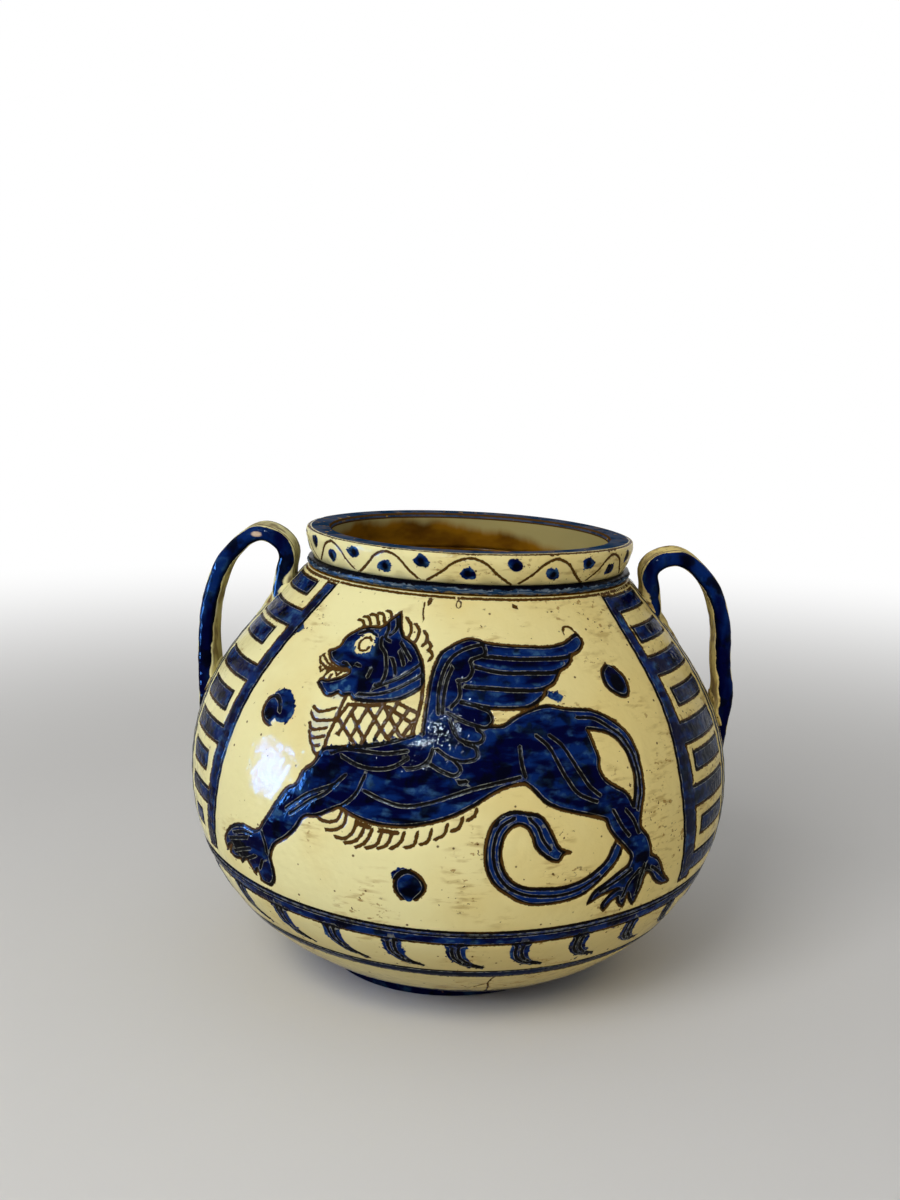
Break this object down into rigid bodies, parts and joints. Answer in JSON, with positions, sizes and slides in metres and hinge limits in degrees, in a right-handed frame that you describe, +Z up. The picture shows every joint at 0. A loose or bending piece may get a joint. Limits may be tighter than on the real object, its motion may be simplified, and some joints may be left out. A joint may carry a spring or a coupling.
{
  "type": "two-handled earthenware vase",
  "caption": "Round-bellied glazed earthenware vase with a wide mouth, a banded collar and strap handles; stands on a foot ring and holds flowers.",
  "frame": {"origin": "on the surface that the vase stands on, under the middle of the belly", "axes": "+Z up, +X from the left handle to the right handle, -Y towards the painted front"},
  "size_m": [0.2599, 0.257, 0.2112],
  "materials": {
    "body_glaze": "glossy cream glaze with cobalt painting and brown incised lines",
    "foot_glaze": "glossy cobalt glaze, worn to clay at the edge",
    "cordon_glaze": "glossy slate blue glaze with brown edges",
    "collar_glaze": "glossy cream glaze with incised arches and cobalt dots",
    "handle_glaze": "glossy cobalt edges on cream faces",
    "luting_glaze": "glossy cream glaze stained brown"
  },
  "bodies": {
    "root": {"vessel_body": "body_glaze", "foot_ring": "foot_glaze", "neck_cordon": "cordon_glaze", "rim_collar": "collar_glaze", "left_handle": "handle_glaze", "right_handle": "handle_glaze", "left_upper_luting": "luting_glaze", "left_lower_luting": "luting_glaze", "right_upper_luting": "luting_glaze", "right_lower_luting": "luting_glaze"}
  },
  "joints": []
}
